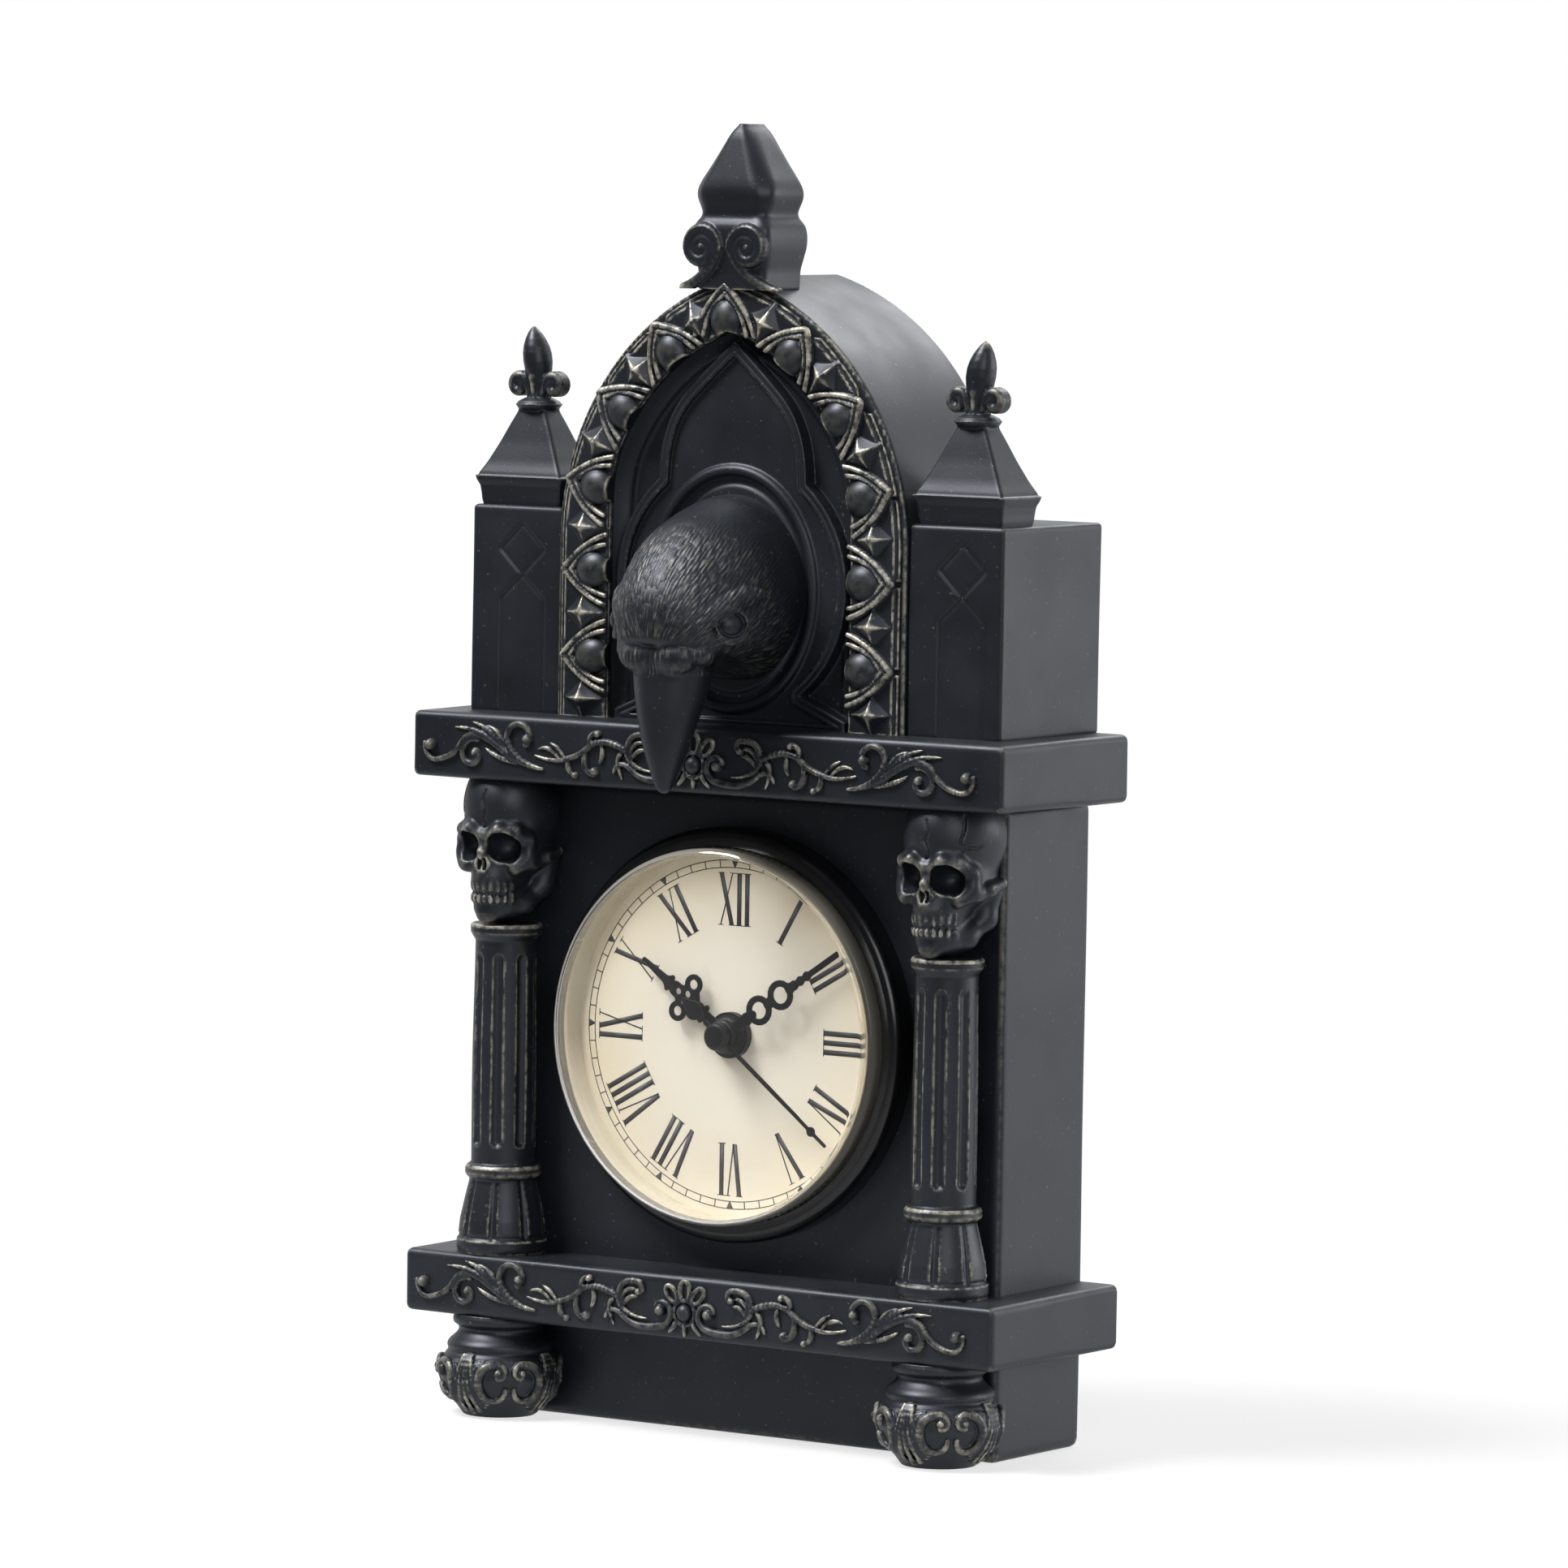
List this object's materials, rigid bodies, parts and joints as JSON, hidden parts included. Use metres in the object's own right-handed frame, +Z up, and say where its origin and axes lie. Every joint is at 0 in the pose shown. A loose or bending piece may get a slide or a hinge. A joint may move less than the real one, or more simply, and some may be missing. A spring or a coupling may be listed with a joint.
{
  "type": "table clock",
  "caption": "Cast gothic table clock: pointed arch with a raven's head between spired pillars, skull-topped half columns, round dial with hands, and a battery movement behind.",
  "frame": {"origin": "centre of the plinth's underside, midway between the case's front panel and its back", "axes": "+X to the right as the dial is read, -Y out of the dial towards the viewer, +Z up"},
  "size_m": [0.135, 0.0641, 0.25],
  "materials": {
    "cast_resin": "satin black cast polyresin, high points rubbed with dull silver",
    "black_plastic": "moulded black plastic",
    "clear_lens": "clear moulded lens",
    "dial_paper": "cream printed dial",
    "black_paint": "black painted sheet metal",
    "movement_plastic": "moulded black plastic",
    "rubber": "soft black rubber",
    "white_acetal": "natural acetal",
    "steel": "bare sheet",
    "copper_wire": "enamelled copper winding",
    "board": "bare phenolic board",
    "nickel": "nickel plate",
    "battery_jacket": "plain printed jacket without lettering"
  },
  "bodies": {
    "case": {"case_body": "cast_resin", "lower_ledge": "cast_resin", "upper_ledge": "cast_resin", "arch_hood": "cast_resin", "left_pillar": "cast_resin", "right_pillar": "cast_resin", "left_spire": "cast_resin", "right_spire": "cast_resin", "top_finial": "cast_resin", "arch_trim": "cast_resin", "niche_panel": "cast_resin", "raven_head": "cast_resin", "left_column": "cast_resin", "right_column": "cast_resin", "left_skull": "cast_resin", "right_skull": "cast_resin", "left_foot": "cast_resin", "right_foot": "cast_resin", "bezel": "black_plastic", "lens": "clear_lens", "dial_plate": "black_plastic", "dial": "dial_paper", "hand_nut": "black_plastic", "movement_front_case": "movement_plastic", "movement_rear_case": "movement_plastic", "train_bridge": "movement_plastic", "rubber_washer": "rubber", "stator": "steel", "coil": "copper_wire", "circuit_board": "board", "quartz_crystal": "nickel", "contact_positive": "nickel", "contact_negative": "nickel"},
    "second": {"second_wheel": "white_acetal", "second_hand": "black_paint"},
    "intermediate": {"intermediate_wheel": "white_acetal"},
    "rotor": {"rotor": "white_acetal"},
    "third": {"third_wheel": "white_acetal"},
    "centre": {"centre_wheel": "white_acetal"},
    "minute": {"minute_arbor": "white_acetal", "minute_hand": "black_paint"},
    "motion": {"minute_wheel": "white_acetal", "setting_knob": "white_acetal"},
    "hour": {"hour_wheel": "white_acetal", "hour_hand": "black_paint"},
    "battery": {"battery": "battery_jacket"}
  },
  "joints": [
    {"name": "second_turn", "type": "hinge", "parent": "case", "child": "second", "pos_m": [0, 0, 0.077], "axis": [0, 1, 0], "continuous": true},
    {"name": "intermediate_turn", "type": "hinge", "parent": "case", "child": "intermediate", "pos_m": [0.00648, 0, 0.08822], "axis": [0, 1, 0], "continuous": true},
    {"name": "rotor_turn", "type": "hinge", "parent": "case", "child": "rotor", "pos_m": [-0.00113, 0, 0.09177], "axis": [0, 1, 0], "continuous": true},
    {"name": "third_turn", "type": "hinge", "parent": "case", "child": "third", "pos_m": [-0.01224, 0, 0.077], "axis": [0, 1, 0], "continuous": true},
    {"name": "centre_turn", "type": "hinge", "parent": "case", "child": "centre", "pos_m": [0, 0, 0.077], "axis": [0, 1, 0], "continuous": true},
    {"name": "minute_turn", "type": "hinge", "parent": "case", "child": "minute", "pos_m": [0, 0, 0.077], "axis": [0, 1, 0], "continuous": true},
    {"name": "motion_turn", "type": "hinge", "parent": "case", "child": "motion", "pos_m": [0.0144, 0, 0.077], "axis": [0, 1, 0], "continuous": true},
    {"name": "hour_turn", "type": "hinge", "parent": "case", "child": "hour", "pos_m": [0, 0, 0.077], "axis": [0, 1, 0], "continuous": true},
    {"name": "battery_pull", "type": "slide", "parent": "case", "child": "battery", "axis": [0, 1, 0], "range_m": [0, 0.03]}
  ],
  "couplings": [
    {"joint": "intermediate_turn", "follows": "second_turn", "ratio": -5},
    {"joint": "rotor_turn", "follows": "second_turn", "ratio": 30},
    {"joint": "third_turn", "follows": "second_turn", "ratio": -0.13333},
    {"joint": "centre_turn", "follows": "second_turn", "ratio": 0.016667},
    {"joint": "motion_turn", "follows": "minute_turn", "ratio": -0.33333},
    {"joint": "hour_turn", "follows": "minute_turn", "ratio": 0.083333}
  ]
}
